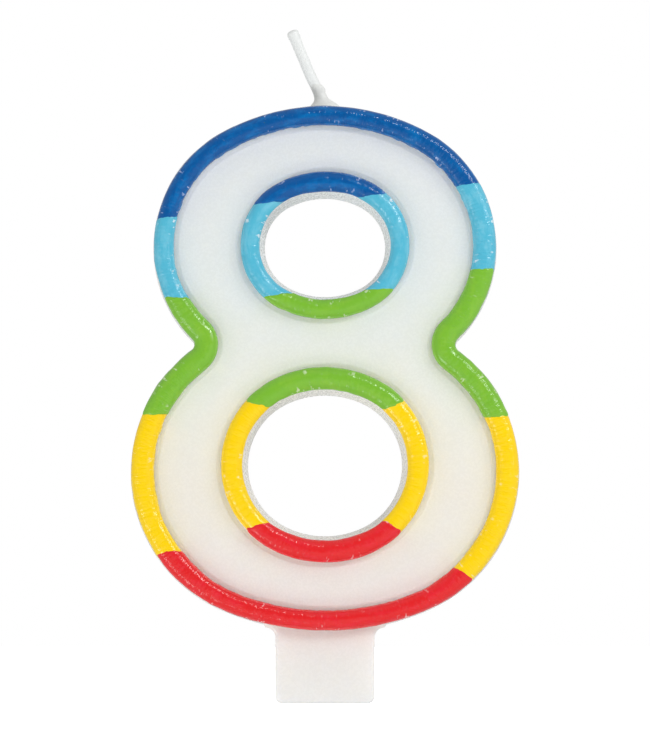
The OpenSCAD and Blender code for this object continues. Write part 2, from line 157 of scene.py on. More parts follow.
def long_a(r, spread, crown):
    return math.degrees(math.atan2(spread, long_r(r, spread, crown) - r - crown))


class Loop:
    """A closed edge made of arcs, run anticlockwise from its lowest point.

    at(s, u) is the point u into the wax.
    """

    STEP = 0.02

    def __init__(self, arcs, into):
        px, pz, mx, mz = [], [], [], []
        for (cx, cz), r, a0, a1, bulge in arcs:
            n = max(8, int(abs(math.radians(a1 - a0)) * r / self.STEP))
            a = np.radians(np.linspace(a0, a1, n, endpoint=False))
            px.append(cx + r * np.cos(a))
            pz.append(cz + r * np.sin(a))
            mx.append(into * bulge * np.cos(a))
            mz.append(into * bulge * np.sin(a))
        self.p = np.stack([np.concatenate(px), np.concatenate(pz)], 1)
        self.m = np.stack([np.concatenate(mx), np.concatenate(mz)], 1)
        steps = np.linalg.norm(np.roll(self.p, -1, 0) - self.p, axis=1)
        self.s = np.concatenate([[0], np.cumsum(steps)])
        self.length = self.s[-1]

    def at(self, s, u):
        s = np.mod(s, self.length)
        p = [np.interp(s, self.s, np.append(self.p[:, i], self.p[0, i])) for i in (0, 1)]
        m = [np.interp(s, self.s, np.append(self.m[:, i], self.m[0, i])) for i in (0, 1)]
        n = np.hypot(*m)
        return p[0] + u * m[0] / n, p[1] + u * m[1] / n

    def s_at_height(self, z, side, u):
        """The s on one side, 1 right and -1 left, where the line u into the wax has height z."""
        s = np.linspace(0, self.length / 2, 1500)
        if side < 0:
            s = self.length - s
        return np.interp(z, self.at(s, u)[1], s)


def outer_loop():
    upper, lower = (UPPER_R, UPPER_SPREAD, UPPER_CROWN), (LOWER_R, LOWER_SPREAD, LOWER_CROWN)
    upper_long, lower_long = long_r(*upper), long_r(*lower)
    upper_a, lower_a = long_a(*upper), long_a(*lower)
    upper_c, lower_c = np.array([UPPER_SPREAD, UPPER_Y]), np.array([LOWER_SPREAD, LOWER_Y])
    between = upper_c - lower_c
    span = np.linalg.norm(between)
    reach_u, reach_l = UPPER_R + NOTCH_R, LOWER_R + NOTCH_R
    along = (span**2 + reach_l**2 - reach_u**2) / (2 * span)
    across = math.sqrt(reach_l**2 - along**2)
    d = between / span
    notch = lower_c + d * along + np.array([d[1], -d[0]]) * across
    a_u = math.degrees(math.atan2(*(notch - upper_c)[::-1]))
    a_l = math.degrees(math.atan2(*(notch - lower_c)[::-1]))

    def left(c):
        return (-c[0], c[1])

    crown_c, base_c = (0, TOP_Z - upper_long), (0, FOOT_Z + lower_long)
    return Loop(
        [
            (base_c, lower_long, 270, 270 + lower_a, 1),
            (lower_c, LOWER_R, lower_a - 90, a_l, 1),
            (notch, NOTCH_R, a_l + 180, a_u + 180, -1),
            (upper_c, UPPER_R, a_u, 90 - upper_a, 1),
            (crown_c, upper_long, 90 - upper_a, 90 + upper_a, 1),
            (left(upper_c), UPPER_R, 90 + upper_a, 180 - a_u, 1),
            (left(notch), NOTCH_R, -a_u, -a_l, -1),
            (left(lower_c), LOWER_R, 180 - a_l, 270 - lower_a, 1),
            (base_c, lower_long, 270 - lower_a, 270, 1),
        ],
        -1,
    )


def oval_loop(z, r, spread, crown):
    big, a = long_r(r, spread, crown), long_a(r, spread, crown)
    over, under = (0, z + r + crown - big), (0, z - r - crown + big)
    return Loop(
        [
            (under, big, 270, 270 + a, 1),
            ((spread, z), r, a - 90, 90 - a, 1),
            (over, big, 90 - a, 90 + a, 1),
            ((-spread, z), r, 90 + a, 270 - a, 1),
            (under, big, 270 - a, 270, 1),
        ],
        1,
    )


OUTER = outer_loop()
UPPER_HOLE = oval_loop(UPPER_HOLE_Y, UPPER_HOLE_R, UPPER_HOLE_SPREAD, UPPER_HOLE_CROWN)
LOWER_HOLE = oval_loop(LOWER_HOLE_Y, LOWER_HOLE_R, LOWER_HOLE_SPREAD, LOWER_HOLE_CROWN)

# ---- The section across an edge ----

PAINT_ROOM = 0.12  # how much lower and narrower the white bead is than the painted one
BEAD_POWER = 2.5  # how square the bead's section is
SIDE_SKIRT = 0.3  # length of the painted strip down the outer side
BACK_EDGE_R = 0.45
FRONT_STEP = 0.075  # distance between points across a bead
FIELD_RUN = 1.6  # width of the shallow groove beside a bead
LIP = 0.08  # height of the lip in the field beyond a bead


def resample(points, step):
    """The same line with points about step apart."""
    points = np.asarray(points, float)
    run = np.concatenate([[0], np.cumsum(np.linalg.norm(np.diff(points, axis=0), axis=1))])
    n = max(2, int(round(run[-1] / step)) + 1)
    t = np.linspace(0, run[-1], n)
    return np.stack([np.interp(t, run, points[:, i]) for i in (0, 1)], 1)


class Section:
    """The wax's section across an edge, (u, h), from the side wall over the bead to the field."""

    def __init__(self, width, draft, paint_low, paint_over):
        top, room = BEAD_H - PAINT_ROOM, PAINT_ROOM
        phi = np.linspace(0.06, math.pi - 0.03, 60)
        cu = np.sign(np.cos(phi)) * np.abs(np.cos(phi)) ** (2 / BEAD_POWER)
        ch = np.sin(phi) ** (2 / BEAD_POWER)
        half = width / 2 - room
        bead = np.stack([width / 2 - half * cu, top * ch], 1)
        side = np.array([[0.0, -SIDE_SKIRT], [0.05, -0.05]])
        groove_u = np.array([0.04, 0.12, 0.25, 0.45, 0.6, 0.72, 0.8, 0.92, 1.1, FIELD_RUN])
        groove_h = LIP * np.array([1.4, 0.9, 0.45, 0.15, 0.1, 0.9, 1.0, 0.8, 0.4, 0.0])
        groove = np.stack([width - room + groove_u, groove_h], 1)
        self.front = resample(np.concatenate([side, bead, groove]), FRONT_STEP)
        self.width = width
        corner = np.radians(np.linspace(0, 90, 7))
        back = np.stack(
            [
                -draft + BACK_EDGE_R * (1 - np.sin(corner)),
                -SLAB_T + BACK_EDGE_R * (1 - np.cos(corner)),
            ],
            1,
        )
        wall_h = np.linspace(-SLAB_T + BACK_EDGE_R, -SIDE_SKIRT, 16)[1:-1]
        wall = np.stack([draft * wall_h / SLAB_T, wall_h], 1)
        self.whole = np.concatenate([back, wall, self.front])
        run = np.concatenate([[0], np.cumsum(np.linalg.norm(np.diff(self.front, axis=0), axis=1))])
        tangent = np.gradient(self.front, run, axis=0)
        tangent /= np.linalg.norm(tangent, axis=1)[:, None]
        self.run = run
        self.normal = np.stack([-tangent[:, 1], tangent[:, 0]], 1)
        self.paint_low = paint_low
        self.paint_high = float(np.interp(width - room + paint_over, self.front[:, 0], run))

    def at(self, c, out):
        """(u, h) at run c along the front part, moved out from the wax."""
        u = np.interp(c, self.run, self.front[:, 0]) + out * np.interp(c, self.run, self.normal[:, 0])
        h = np.interp(c, self.run, self.front[:, 1]) + out * np.interp(c, self.run, self.normal[:, 1])
        return u, h


OUTER_SECTION = Section(OUTER_W, OUTER_DRAFT, 0.12, 0.14)
UPPER_SECTION = Section(UPPER_RING_W, COUNTER_DRAFT, 0.42, 0.08)
LOWER_SECTION = Section(LOWER_RING_W, COUNTER_DRAFT, 0.42, 0.02)


def bead_trim(x, z):
    """How much narrower the outer bead is at a point of its edge: at the top, the base and upper left."""
    left = 1 - smoothstep(-6.0, 6.0, x)
    top = 0.32 * smoothstep(TOP_Z - 9, TOP_Z - 1, z) * (1 - left) + 0.4 * smoothstep(47.0, 54.0, z) * left
    return top + 0.42 * (1 - smoothstep(FOOT_Z + 1.5, FOOT_Z + 8, z))


def place(loop, section, s, u):
    """The point u into the wax at s, with the bead drawn narrower where the figure's is."""
    if loop is OUTER:
        x, z = loop.at(s, 0 * u)
        u = u - bead_trim(x, z) * np.clip(u / section.width, 0, 1)
    return loop.at(s, u)


# ---- Making meshes ----


def mesh_piece(name, points, faces, flow=None, smooth_angle=40):
    """An object from points (x, h, z) in millimetres and lists of corners."""
    points = np.asarray(points, float)
    world = np.stack([points[:, 0], FIELD_Y - points[:, 1], points[:, 2]], 1) * MM
    mesh = bpy.data.meshes.new(name)
    mesh.from_pydata(world.tolist(), [], faces)
    mesh.update()
    if flow is not None:
        layer = mesh.attributes.new("flow", "FLOAT_VECTOR", "POINT")
        layer.data.foreach_set("vector", np.asarray(flow, np.float32).ravel())
    obj = bpy.data.objects.new(name, mesh)
    bpy.context.scene.collection.objects.link(obj)
    tidy = bmesh.new()
    tidy.from_mesh(mesh)
    bmesh.ops.remove_doubles(tidy, verts=tidy.verts, dist=1e-7)
    bmesh.ops.recalc_face_normals(tidy, faces=tidy.faces)
    tidy.to_mesh(mesh)
    tidy.free()
    mesh.shade_smooth()
    mesh.set_sharp_from_angle(angle=math.radians(smooth_angle))
    return obj


def grid_faces(rows, columns, first=0, closed=False, flip=False):
    """Quads of a grid of rows by columns points; closed joins the last row to the first."""
    faces = []
    for i in range(rows if closed else rows - 1):
        a = first + i * columns
        b = first + ((i + 1) % rows) * columns
        for k in range(columns - 1):
            quad = (a + k, b + k, b + k + 1, a + k + 1)
            faces.append(quad[::-1] if flip else quad)
    return faces


def tube_faces(rows, sides):
    """Quads round a tube of rows rings, and one face over each end."""
    faces = []
    for i in range(rows - 1):
        for k in range(sides):
            j = (k + 1) % sides
            faces.append((i * sides + k, i * sides + j, (i + 1) * sides + j, (i + 1) * sides + k))
    faces.append(tuple(range(sides))[::-1])
    faces.append(tuple((rows - 1) * sides + k for k in range(sides)))
    return faces


def inside(points, ring):
    """True for each point inside the closed ring."""
    result = np.zeros(len(points), bool)
    x, z = points[:, 0], points[:, 1]
    a = ring
    b = np.roll(ring, -1, 0)
    for (ax, az), (bx, bz) in zip(a, b):
        if az == bz:
            continue
        crosses = (az > z) != (bz > z)
        result ^= crosses & (x < ax + (z - az) * (bx - ax) / (bz - az))
    return result


def distance_to(points, ring):
    """The distance from each point to the nearest point of the ring."""
    best = np.full(len(points), np.inf)
    for start in range(0, len(ring), 200):
        part = ring[start : start + 200]
        d = np.linalg.norm(points[:, None, :] - part[None, :, :], axis=2).min(1)
        best = np.minimum(best, d)
    return best


def fill(outer, holes, spacing, height):
    """Triangles between an outer ring and holes, with inner points spacing apart, as (points, faces)."""
    rings = [outer, *holes]
    low, high = outer.min(0), outer.max(0)
    rows = np.arange(low[1], high[1], spacing * math.sqrt(3) / 2)
    grid = []
    for j, z in enumerate(rows):
        x = np.arange(low[0], high[0], spacing) + (j % 2) * spacing / 2
        grid.append(np.stack([x, np.full(len(x), z)], 1))
    grid = np.concatenate(grid)
    grid = grid[inside(grid, outer)]
    for hole in holes:
        grid = grid[~inside(grid, hole)]
    gap = np.min([distance_to(grid, ring) for ring in rings], axis=0)
    grid = grid[gap > 0.55 * spacing]
    points = np.concatenate([*rings, grid])
    edges, start = [], 0
    for ring in rings:
        n = len(ring)
        edges += [(start + i, start + (i + 1) % n) for i in range(n)]
        start += n
    made = geometry.delaunay_2d_cdt([Vector(p) for p in points.tolist()], edges, [], 0, 1e-6)
    flat = np.array([tuple(v) for v in made[0]])
    faces = np.array([tuple(f) for f in made[2]])
    middle = flat[faces].mean(1)
    keep = inside(middle, outer)
    for hole in holes:
        keep &= ~inside(middle, hole)
    faces = faces[keep]
    edge_gap = np.min([distance_to(flat, ring) for ring in rings], axis=0)
    h = height(flat, edge_gap)
    return np.stack([flat[:, 0], h, flat[:, 1]], 1), [tuple(int(i) for i in f) for f in faces]


# ---- The wax ----

OUTLINE_STEP = 0.28  # distance between points along the outline
COUNTER_STEP = 0.24  # and along a counter
FIELD_SPACING = 0.42
BACK_SPACING = 0.9
PILLOW = 0.17  # how far the field swells towards its middle
FOOT_SUNK = 0.6  # how far the foot's back is drawn in where it runs up inside the lobe


def ring_rows(loop, step):
    return np.linspace(0, loop.length, int(loop.length / step), endpoint=False)


def lumps(x, z, seed):
    """The slow unevenness of a cast and handled surface, -1 to 1."""
    p = np.stack([x.ravel(), z.ravel(), 0 * x.ravel()], 1)
    n = 0.6 * smooth_noise(p, 5.5, seed) + 0.4 * smooth_noise(p, 2.2, seed + 1)
    return n.reshape(x.shape)


def strip(loop, section, step, seed):
    """The wax from the back edge round the side and over the bead, as (points, rows, columns)."""
    s = ring_rows(loop, step)
    u = np.broadcast_to(section.whole[:, 0], (len(s), len(section.whole))).copy()
    h = np.broadcast_to(section.whole[:, 1], u.shape).copy()
    wall = smoothstep(-SLAB_T + 0.3, -SLAB_T + 1.5, h) * (1 - smoothstep(-1.2, -0.4, h))
    wobble = 0.05 * line_noise(s, 6.0, seed)[:, None] + 0.03 * lumps(s[:, None] + 0 * h, h, seed + 3)
    x, z = place(loop, section, s[:, None], u + wall * wobble)
    return np.stack([x, h, z], 2), len(s), len(section.whole)


def front_height(flat, gap):
    rise = PILLOW * (1 - np.exp(-gap / 1.8))
    uneven = 0.035 * lumps(flat[:, 0], flat[:, 1], 41) * smoothstep(0.0, 1.2, gap)
    return rise + uneven


def back_height(flat, gap):
    dip = 0.12 * smoothstep(0.0, 3.5, gap)
    uneven = 0.03 * (1 + lumps(flat[:, 0], flat[:, 1], 57)) * smoothstep(0.0, 1.0, gap)
    return -SLAB_T + dip + uneven


def slab_mesh():
    strips = [
        strip(OUTER, OUTER_SECTION, OUTLINE_STEP, 11),
        strip(UPPER_HOLE, UPPER_SECTION, COUNTER_STEP, 12),
        strip(LOWER_HOLE, LOWER_SECTION, COUNTER_STEP, 13),
    ]
    points, faces, first = [], [], 0
    for grid, rows, columns in strips:
        points.append(grid.reshape(-1, 3))
        faces += grid_faces(rows, columns, first, closed=True)
        first += rows * columns
    fronts = [grid[:, -1, :][:, (0, 2)] for grid, _, _ in strips]
    backs = [grid[:, 0, :][:, (0, 2)] for grid, _, _ in strips]
    for rings, spacing, height in ((fronts, FIELD_SPACING, front_height), (backs, BACK_SPACING, back_height)):
        made, triangles = fill(rings[0], rings[1:], spacing, height)
        points.append(made)
        faces += [tuple(first + i for i in t) for t in triangles]
        first += len(made)
    return np.concatenate(points), faces


def foot_outline(inset):
    """The foot's outline with its fillets, drawn in by inset, open at the top inside the lobe."""
    half, r, q = FOOT_W / 2, FOOT_CORNER_R, FOOT_FILLET_R
    a = np.radians(np.linspace(0, -90, 9))
    corner = [(half - r + (r - inset) * math.cos(t), r + (r - inset) * math.sin(t)) for t in a]
    rows = np.linspace(FOOT_Z - q, r, 26)[1:-1]
    side = [(half - inset, z) for z in rows]
    b = np.radians(np.linspace(90, 180, 9))
    middle_x, middle_z, reach = half + q, FOOT_Z - q + 0.35, q + inset
    fillet = [(middle_x + reach * math.cos(t), middle_z + reach * math.sin(t)) for t in b]
    right = [(half + q + 0.4, FOOT_Z + 1.9), (half + q + 0.3, FOOT_Z + 0.9)] + fillet + side + corner
    bottom = [(x, inset) for x in np.linspace(half - r, -half + r, 30)[1:-1]]
    left = [(-x, z) for x, z in right[::-1]]
    top = [(x, FOOT_Z + 3.4) for x in np.linspace(-half - q, half + q, 26)]
    return np.array(right + bottom + left + top)


def foot_sunk(z, h):
    """How far a point of the foot's back lies inside the lobe, so that the two backs don't share a plane."""
    return FOOT_SUNK * smoothstep(FOOT_Z - 0.4, FOOT_Z + 2.6, z) * (h < -SLAB_T / 2)


def foot_mesh():
    """The foot as rings of its outline from back to front, with rounded front and back edges."""
    edge_r = BACK_EDGE_R
    quarter = np.radians(np.linspace(0, 90, 6))
    back = [(edge_r * (1 - math.sin(t)), -SLAB_T + edge_r * (1 - math.cos(t))) for t in quarter]
    front_h = FOOT_T - SLAB_T
    walls = [(0.0, h) for h in np.linspace(-SLAB_T + edge_r, front_h - edge_r, 14)[1:-1]]
    front = [(edge_r * (1 - math.cos(t)), front_h - edge_r * (1 - math.sin(t))) for t in quarter]
    rows = back + walls + front
    n = len(foot_outline(0))
    points = []
    for inset, h in rows:
        ring = foot_outline(inset)
        low = smoothstep(FOOT_Z, FOOT_Z - 3, ring[:, 1])
        wave = 0.06 * lumps(ring[:, 0] + ring[:, 1], 0 * ring[:, 1] + h, 71) * low
        z = ring[:, 1] + 0.4 * wave * (ring[:, 1] > 0.5)
        points.append(np.stack([ring[:, 0] + wave, h + foot_sunk(ring[:, 1], h), z], 1))
    first = len(rows) * n
    faces = []
    for j in range(len(rows) - 1):
        for k in range(n):
            faces.append((j * n + k, (j + 1) * n + k, (j + 1) * n + (k + 1) % n, j * n + (k + 1) % n))
    caps = []
    for ring, h, seed in ((points[0], rows[0][1], 81), (points[-1], rows[-1][1], 83)):
        flat = ring[:, (0, 2)]

        def height(p, gap, h=h, seed=seed):
            uneven = 0.03 * lumps(p[:, 0], p[:, 1], seed) * smoothstep(0.0, 0.8, gap)
            return h + foot_sunk(p[:, 1], h) + uneven

        made, triangles = fill(flat, [], 0.5, height)
        caps.append(made)
        faces += [tuple(first + i for i in t) for t in triangles]
        first += len(made)
    return np.concatenate(points + caps), faces


def join_solids(piece, other):
    """Adds another closed mesh to a piece by a boolean union."""
    cut = piece.modifiers.new("foot", "BOOLEAN")
    cut.operation = "UNION"
    cut.solver = "MANIFOLD"
    cut.object = other
    bpy.context.view_layer.update()
    graph = bpy.context.evaluated_depsgraph_get()
    made = bpy.data.meshes.new_from_object(piece.evaluated_get(graph))
    piece.modifiers.clear()
    old = piece.data
    piece.data = made
    bpy.data.meshes.remove(old)
    bpy.data.objects.remove(other)
    made.shade_smooth()
    made.set_sharp_from_angle(angle=math.radians(40))
    return piece


def make_wax():
    slab = mesh_piece("wax_figure", *slab_mesh())
    foot = mesh_piece("foot_block", *foot_mesh())
    return join_solids(slab, foot)


def store_painted_coat_bounce(wax, paints):
    """Stores on the wax how near the coloured coats are and their colour there: painted light, the coats'
    coloured bounce painted onto the white wax beside them.
    """
    spots = []
    for piece, _, colour in paints:
        spots += [(v.co, srgb(*PAINTED_BOUNCE_TINTS[colour])) for v in list(piece.data.vertices)[::23]]
    tree = kdtree.KDTree(len(spots))
    for i, (place_of, _) in enumerate(spots):
        tree.insert(place_of, i)
    tree.balance()
    values = []
    for v in wax.data.vertices:
        found = tree.find_n(v.co, 10)
        near = [math.exp(-d / (1.1 * MM)) for _, _, d in found]
        total = sum(near) + 1e-9
        tone = [sum(w * spots[i][1][k] for w, (_, i, _) in zip(near, found)) / total for k in range(3)]
        # Painted light: the nearest coats' tint and its strength, falling off away from them
        values += [*tone, math.exp(-found[0][2] / (1.7 * MM))]
    layer = wax.data.attributes.new("painted_coat_bounce", "FLOAT_COLOR", "POINT")
    layer.data.foreach_set("color", np.array(values, np.float32))


# ---- The coloured coats ----

COAT_STEP = 0.2
COAT_COLUMNS = 32
COAT_DEPTH = 0.22  # how far a coat's hidden face lies under the wax
END_ROUND = 0.28


class Cut:
    """Where a coat ends, at a colour change: lap is how far it runs on, tongue how far its end is rounded."""

    def __init__(self, change, lap=0.0, tongue=0.0):
        self.side, self.z_out, self.z_in = change
        self.lap, self.tongue = lap, tongue

    def s(self, loop, section, part, seed):
        """The s of the cut across the section, part from 0 at the edge to 1 at the field."""
        u = section.at(section.paint_low + (section.paint_high - section.paint_low) * part, 0)[0]
        z = self.z_out + (self.z_in - self.z_out) * u / section.width
        z = z + 0.07 * line_noise(part * 3.1 + seed, 0.5, seed)
        z = z + 0.05 * line_noise(part * 3.1, 0.22, seed + 1)
        return np.array([float(loop.s_at_height(zz, self.side, uu)) for zz, uu in zip(z, u)])


def coat(name, loop, section, start, end, thick, seed):
    """A coloured skin over the bead from one cut to the next, anticlockwise."""
    part = np.linspace(0, 1, COAT_COLUMNS)
    corner = np.clip((np.abs(2 * part - 1) - 0.45) / 0.55, 0, 1)
    rounding = 1 - np.sqrt(1 - corner**2)
    s0 = start.s(loop, section, part, seed) - start.lap + start.tongue * rounding
    s1 = end.s(loop, section, part, seed + 5) + end.lap - end.tongue * rounding
    s1 = np.where(s1 < s0, s1 + loop.length, s1)
    rows = max(12, int(np.mean(s1 - s0) / COAT_STEP))
    t = np.linspace(0, 1, rows)
    s = s0[None, :] + (s1 - s0)[None, :] * t[:, None]
    side_wave = 0.16 * line_noise(s[:, 0], 2.4, seed + 7) + 0.07 * line_noise(s[:, 0], 0.7, seed + 8)
    field_wave = 0.07 * line_noise(s[:, 0], 1.7, seed + 9) + 0.05 * line_noise(s[:, 0], 0.55, seed + 10)
    low = section.paint_low + 0.8 * side_wave[:, None]
    high = section.paint_high + field_wave[:, None]
    for cut, ends in ((start, s - s0[None, :]), (end, s1[None, :] - s)):
        if cut.tongue:
            low = low + 0.3 * (1 - smoothstep(0.5, 4.5, ends))
            high = high - 0.08 * (1 - smoothstep(0.0, 2.5, ends))
    c = low + (high - low) * part[None, :]
    gap_side = np.minimum(part, 1 - part)[None, :] * (high - low)
    gap_end = np.minimum(s - s0[None, :], s1[None, :] - s)
    round_side = np.sqrt(np.clip(gap_side / 0.3, 0, 1))
    round_end = np.sqrt(np.clip(gap_end / END_ROUND, 0, 1))
    p = np.stack([axis.ravel() for axis in (*loop.at(s, section.width * part[None, :]), c)], 1)
    flow = np.stack([s.ravel(), c.ravel() * 3.0, 0 * s.ravel()], 1)
    brush = 0.55 * smooth_noise(flow * (1, 0.35, 1), 0.9, seed + 20) + 0.45 * smooth_noise(p, 1.6, seed + 21)
    slow = smooth_noise(p, 4.5, seed + 22)
    body = thick * (1 + 0.32 * brush.reshape(s.shape) + 0.2 * slow.reshape(s.shape))
    hidden = np.maximum(start.lap - (s - s0[None, :]), end.lap - (s1[None, :] - s))
    body = body * (1 - 0.75 * smoothstep(0.1, 1.2, hidden))
    out = (body + 0.03) * round_side * round_end - 0.03
    rows_out = []
    for move in (out, np.full_like(out, -COAT_DEPTH)):
        u, h = section.at(c, move)
        x, z = place(loop, section, s, u)
        rows_out.append(np.stack([x, h, z], 2).reshape(-1, 3))
    n = rows * COAT_COLUMNS
    faces = grid_faces(rows, COAT_COLUMNS)
    faces += grid_faces(rows, COAT_COLUMNS, n, flip=True)
    border = list(range(COAT_COLUMNS))
    border += [i * COAT_COLUMNS + COAT_COLUMNS - 1 for i in range(1, rows)]
    border += [(rows - 1) * COAT_COLUMNS + k for k in range(COAT_COLUMNS - 2, -1, -1)]
    border += [i * COAT_COLUMNS for i in range(rows - 2, 0, -1)]
    for a, b in zip(border, border[1:] + border[:1]):
        faces.append((a, b, b + n, a + n))
    flow_all = np.stack([s.ravel(), (c - low).ravel(), (part[None, :] + 0 * s).ravel()], 1)
    return mesh_piece(name, np.concatenate(rows_out), faces, np.concatenate([flow_all, flow_all]), 60)


LEFT, RIGHT = -1, 1
THICK = {"blue": 0.09, "aqua": 0.15, "green": 0.2, "yellow": 0.12, "red": 0.18, "ring_blue": 0.2}
UNDER = 4.6  # how far the thinner coat runs on under its neighbour

# The colour changes: side, height at the figure's edge, height at the field
BLUE_AQUA_LEFT = (LEFT, 61.75, 62.0)
BLUE_AQUA_RIGHT = (RIGHT, 66.3, 65.9)
AQUA_GREEN_LEFT = (LEFT, 51.8, 51.7)
AQUA_GREEN_RIGHT = (RIGHT, 55.5, 55.3)
GREEN_YELLOW_LEFT = (LEFT, 36.6, 36.6)
GREEN_YELLOW_RIGHT = (RIGHT, 36.4, 36.2)
YELLOW_RED_LEFT = (LEFT, 19.2, 19.4)
YELLOW_RED_RIGHT = (RIGHT, 15.9, 17.5)
RING_BLUE_AQUA_LEFT = (LEFT, 63.7, 63.1)
RING_BLUE_AQUA_RIGHT = (RIGHT, 64.2, 64.5)
RING_AQUA_GREEN_LEFT = (LEFT, 52.2, 51.9)
RING_AQUA_GREEN_RIGHT = (RIGHT, 52.8, 53.0)
RING_GREEN_YELLOW_LEFT = (LEFT, 37.4, 38.3)
RING_GREEN_YELLOW_RIGHT = (RIGHT, 37.1, 38.2)
RING_YELLOW_RED_LEFT = (LEFT, 23.3, 22.3)
RING_YELLOW_RED_RIGHT = (RIGHT, 23.5, 22.0)


def make_coats():
    """Each coat runs anticlockwise, up the right side and down the left."""

    def over(change, tongue=0.7):
        return Cut(change, 0.0, tongue)

    def under(change):
        return Cut(change, UNDER)

    plan = [
        ("outer_blue_top", "blue", under(BLUE_AQUA_RIGHT), under(BLUE_AQUA_LEFT)),
        ("outer_aqua_left", "aqua", over(BLUE_AQUA_LEFT, 0.3), under(AQUA_GREEN_LEFT)),
        ("outer_aqua_right", "aqua", under(AQUA_GREEN_RIGHT), over(BLUE_AQUA_RIGHT, 0.3)),
        ("outer_green_left", "green", over(AQUA_GREEN_LEFT, 0.4), over(GREEN_YELLOW_LEFT, 0.2)),
        ("outer_green_right", "green", over(GREEN_YELLOW_RIGHT, 0.2), over(AQUA_GREEN_RIGHT)),
        ("outer_yellow_left", "yellow", under(GREEN_YELLOW_LEFT), under(YELLOW_RED_LEFT)),
        ("outer_yellow_right", "yellow", under(YELLOW_RED_RIGHT), under(GREEN_YELLOW_RIGHT)),
        ("outer_red_bottom", "red", over(YELLOW_RED_LEFT, 0.5), over(YELLOW_RED_RIGHT, 0.5)),
        ("upper_ring_blue_top", "ring_blue", over(RING_BLUE_AQUA_RIGHT), over(RING_BLUE_AQUA_LEFT)),
        ("upper_ring_aqua_left", "aqua", under(RING_BLUE_AQUA_LEFT), under(RING_AQUA_GREEN_LEFT)),
        ("upper_ring_aqua_right", "aqua", under(RING_AQUA_GREEN_RIGHT), under(RING_BLUE_AQUA_RIGHT)),
        ("upper_ring_green_bottom", "green", over(RING_AQUA_GREEN_LEFT), over(RING_AQUA_GREEN_RIGHT)),
        ("lower_ring_green_top", "green", over(RING_GREEN_YELLOW_RIGHT), over(RING_GREEN_YELLOW_LEFT)),
        ("lower_ring_yellow_left", "yellow", under(RING_GREEN_YELLOW_LEFT), under(RING_YELLOW_RED_LEFT)),
        ("lower_ring_yellow_right", "yellow", under(RING_YELLOW_RED_RIGHT), under(RING_GREEN_YELLOW_RIGHT)),
        ("lower_ring_red_bottom", "red", over(RING_YELLOW_RED_LEFT), over(RING_YELLOW_RED_RIGHT)),
    ]
    edges = {
        "outer": (OUTER, OUTER_SECTION),
        "upper": (UPPER_HOLE, UPPER_SECTION),
        "lower": (LOWER_HOLE, LOWER_SECTION),
    }
    made = []
    for i, (node, colour, start, end) in enumerate(plan):
        loop, section = edges[node.split("_")[0]]
        piece = coat(node + "_paint", loop, section, start, end, THICK[colour], 100 + 30 * i)
        made.append((piece, node, colour.removeprefix("ring_")))
    return made


# ---- The wick ----

WICK_Y_H = -SLAB_T / 2  # the wick's depth behind the field
# Middle line of the exposed wick, (x, height above the top of the wax)
WICK_LINE = [
    (-0.25, -1.2), (-0.28, 0.1), (-0.42, 1.1), (-0.85, 2.05), (-1.33, 3.0), (-1.8, 3.95),
    (-2.2, 4.9), (-2.62, 5.9), (-3.05, 6.9), (-3.45, 7.9), (-3.8, 8.75), (-4.06, 9.38),
]
CORNER_CUTS = 3  # rounds of corner cutting that make the line a curve
WICK_CORE_R = 0.5
WICK_WAX_R = 0.64
WICK_WAX_START = 0.9  # where the wax on the wick begins, along its line
WICK_STEP = 0.06
WICK_SIDES = 64
# The rounded tips: lift above the last ring, share of its radius
COAT_CAP = [(0.14, 0.98), (0.28, 0.9), (0.4, 0.75), (0.48, 0.55), (0.52, 0.3)]
CORE_CAP = [(0.1, 0.98), (0.2, 0.92), (0.3, 0.75), (0.36, 0.5)]


def sweep_line(step):
    """Points, directions and runs along the wick's middle line."""
    raw = np.array([(x, TOP_Z + z) for x, z in WICK_LINE])
    fine = raw
    for _ in range(CORNER_CUTS):
        q = 0.75 * fine[:-1] + 0.25 * fine[1:]
        r = 0.25 * fine[:-1] + 0.75 * fine[1:]
        mid = np.empty((2 * len(q), 2))
        mid[0::2], mid[1::2] = q, r
        fine = np.concatenate([fine[:1], mid, fine[-1:]])
    line = resample(fine, step)
    tangent = np.gradient(line, axis=0)
    tangent /= np.linalg.norm(tangent, axis=1)[:, None]
    run = np.concatenate([[0], np.cumsum(np.linalg.norm(np.diff(line, axis=0), axis=1))])
    return line, tangent, run


def tube(name, radius, start, cap, sides=WICK_SIDES):
    """A closed tube along the wick from run start on.

    radius(run, angle, length) gives its radius; cap lists its rounded end as (lift, share of the radius).
    """
    line, tangent, run = sweep_line(WICK_STEP)
    keep = run >= start
    line, tangent, run = line[keep], tangent[keep], run[keep]
    length = run[-1]
    angle = np.linspace(0, TAU, sides, endpoint=False)
    across = np.stack([-tangent[:, 1], tangent[:, 0]], 1)
    r = radius(run[:, None], angle[None, :], length)
    x = line[:, 0, None] + r * np.cos(angle) * across[:, 0, None]
    z = line[:, 1, None] + r * np.cos(angle) * across[:, 1, None]
    h = WICK_Y_H + r * np.sin(angle)
    points = [np.stack([x, h, z], 2).reshape(-1, 3)]
    end_run = []
    for lift, share in cap:
        c = line[-1] + tangent[-1] * lift
        rr = share * r[-1]
        ring_x = c[0] + rr * np.cos(angle) * across[-1, 0]
        ring_z = c[1] + rr * np.cos(angle) * across[-1, 1]
        points.append(np.stack([ring_x, WICK_Y_H + rr * np.sin(angle), ring_z], 1))
        end_run.append(length + lift)
    rows = len(line) + len(cap)
    all_run = np.concatenate([run, end_run])
    flow = np.stack([np.repeat(all_run, sides), np.tile(angle, rows), np.zeros(rows * sides)], 1)
    return mesh_piece(name, np.concatenate(points), tube_faces(rows, sides), flow, 60)


def braid(run, angle, pitch=1.5):
    """Height of a plait's strands, 0 to 1."""
    a = np.abs(np.sin(1.5 * angle + math.pi * run / pitch))
    b = np.abs(np.sin(1.5 * angle - math.pi * run / pitch))
    return np.maximum(a, b)


